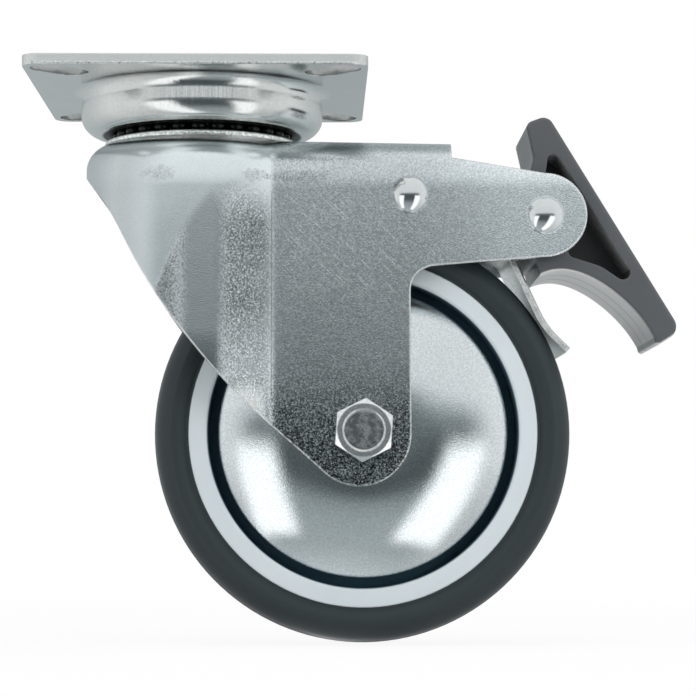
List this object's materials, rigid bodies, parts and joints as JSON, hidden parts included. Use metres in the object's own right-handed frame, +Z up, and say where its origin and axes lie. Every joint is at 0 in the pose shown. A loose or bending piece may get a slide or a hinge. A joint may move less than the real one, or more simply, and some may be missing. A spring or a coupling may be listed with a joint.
{
  "type": "swivel castor",
  "caption": "Swivel castor with a rubber-tyred wheel between the legs of a pressed steel fork, a slotted top plate on a ball race and a foot pedal that locks wheel and swivel.",
  "frame": {"origin": "on the swivel axis, in the flat top face of the mounting plate", "axes": "+Z up along the swivel axis, +X from the swivel axis towards the trailing wheel and the pedal, +Y along the wheel's axle away from the bolt's head"},
  "size_m": [0.1531, 0.0796, 0.1355],
  "materials": {
    "zinc_plate": "bright zinc plate over pressed steel",
    "zinc_fork": "bright zinc plate over pressed steel, fine grain",
    "zinc_ring": "bright zinc plate",
    "zinc_guard": "smooth bright zinc plate",
    "zinc_shoe": "zinc plate over pressed steel",
    "zinc_pin": "zinc plate",
    "bright_zinc": "bright plated, mirror smooth dome",
    "zinc_bolt": "bright zinc plated steel",
    "ball_steel": "polished hardened steel",
    "spring_wire": "drawn spring steel wire",
    "pedal_plastic": "dark grey filled nylon, satin",
    "washer_nylon": "natural nylon",
    "cage_nylon": "black nylon",
    "rim_plastic": "pale grey polypropylene, satin",
    "grey_rubber": "dark grey rubber, smooth sidewall"
  },
  "bodies": {
    "plate": {"top_plate": "zinc_plate", "king_pin": "zinc_pin", "race_cup": "zinc_plate", "lock_ring": "zinc_plate"},
    "upper_race": {"upper_balls": "ball_steel"},
    "lower_race": {"lower_balls": "ball_steel"},
    "swivel": {"fork": "zinc_fork", "crown_ring": "zinc_ring", "lever_rivet": "bright_zinc", "pedal_rivet": "bright_zinc", "lever_tube": "zinc_pin", "pedal_tube": "zinc_pin", "axle_bolt": "zinc_bolt", "axle_nut": "zinc_bolt", "axle_tube": "zinc_pin", "thread_guard_near": "zinc_guard", "thread_guard_far": "zinc_guard", "thrust_washers": "washer_nylon", "return_spring": "spring_wire"},
    "wheel": {"rim": "rim_plastic", "tyre": "grey_rubber"},
    "roller_set": {"roller_cage": "cage_nylon", "rollers": "ball_steel"},
    "pedal": {"pedal": "pedal_plastic"},
    "shoe": {"brake_shoe": "zinc_shoe"},
    "lever": {"lock_lever": "zinc_plate"}
  },
  "joints": [
    {"name": "swivel_turn", "type": "hinge", "parent": "plate", "child": "swivel", "pos_m": [0, 0, -0.0132], "axis": [0, 0, 1], "continuous": true},
    {"name": "upper_race_turn", "type": "hinge", "parent": "plate", "child": "upper_race", "pos_m": [0, 0, -0.0132], "axis": [0, 0, 1], "continuous": true},
    {"name": "lower_race_turn", "type": "hinge", "parent": "plate", "child": "lower_race", "pos_m": [0, 0, -0.0195], "axis": [0, 0, 1], "continuous": true},
    {"name": "wheel_spin", "type": "hinge", "parent": "swivel", "child": "wheel", "pos_m": [0.039, 0, -0.0855], "axis": [0, 1, 0], "continuous": true},
    {"name": "roller_spin", "type": "hinge", "parent": "swivel", "child": "roller_set", "pos_m": [0.039, 0, -0.0855], "axis": [0, 1, 0], "continuous": true},
    {"name": "pedal_press", "type": "hinge", "parent": "swivel", "child": "pedal", "pos_m": [0.0818, 0, -0.0346], "axis": [0, 1, 0], "range_deg": [0, 10]},
    {"name": "shoe_press", "type": "hinge", "parent": "swivel", "child": "shoe", "pos_m": [0.0499, 0, -0.0298], "axis": [0, 1, 0], "range_deg": [0, 0.46]},
    {"name": "lever_drop", "type": "hinge", "parent": "swivel", "child": "lever", "pos_m": [0.0499, 0, -0.0298], "axis": [0, 1, 0], "range_deg": [-5, 0]}
  ],
  "couplings": [
    {"joint": "upper_race_turn", "follows": "swivel_turn", "ratio": 0.5},
    {"joint": "lower_race_turn", "follows": "swivel_turn", "ratio": 0.5},
    {"joint": "roller_spin", "follows": "wheel_spin", "ratio": 0.5},
    {"joint": "shoe_press", "follows": "pedal_press", "ratio": 0.042},
    {"joint": "lever_drop", "follows": "pedal_press", "ratio": -0.5}
  ]
}
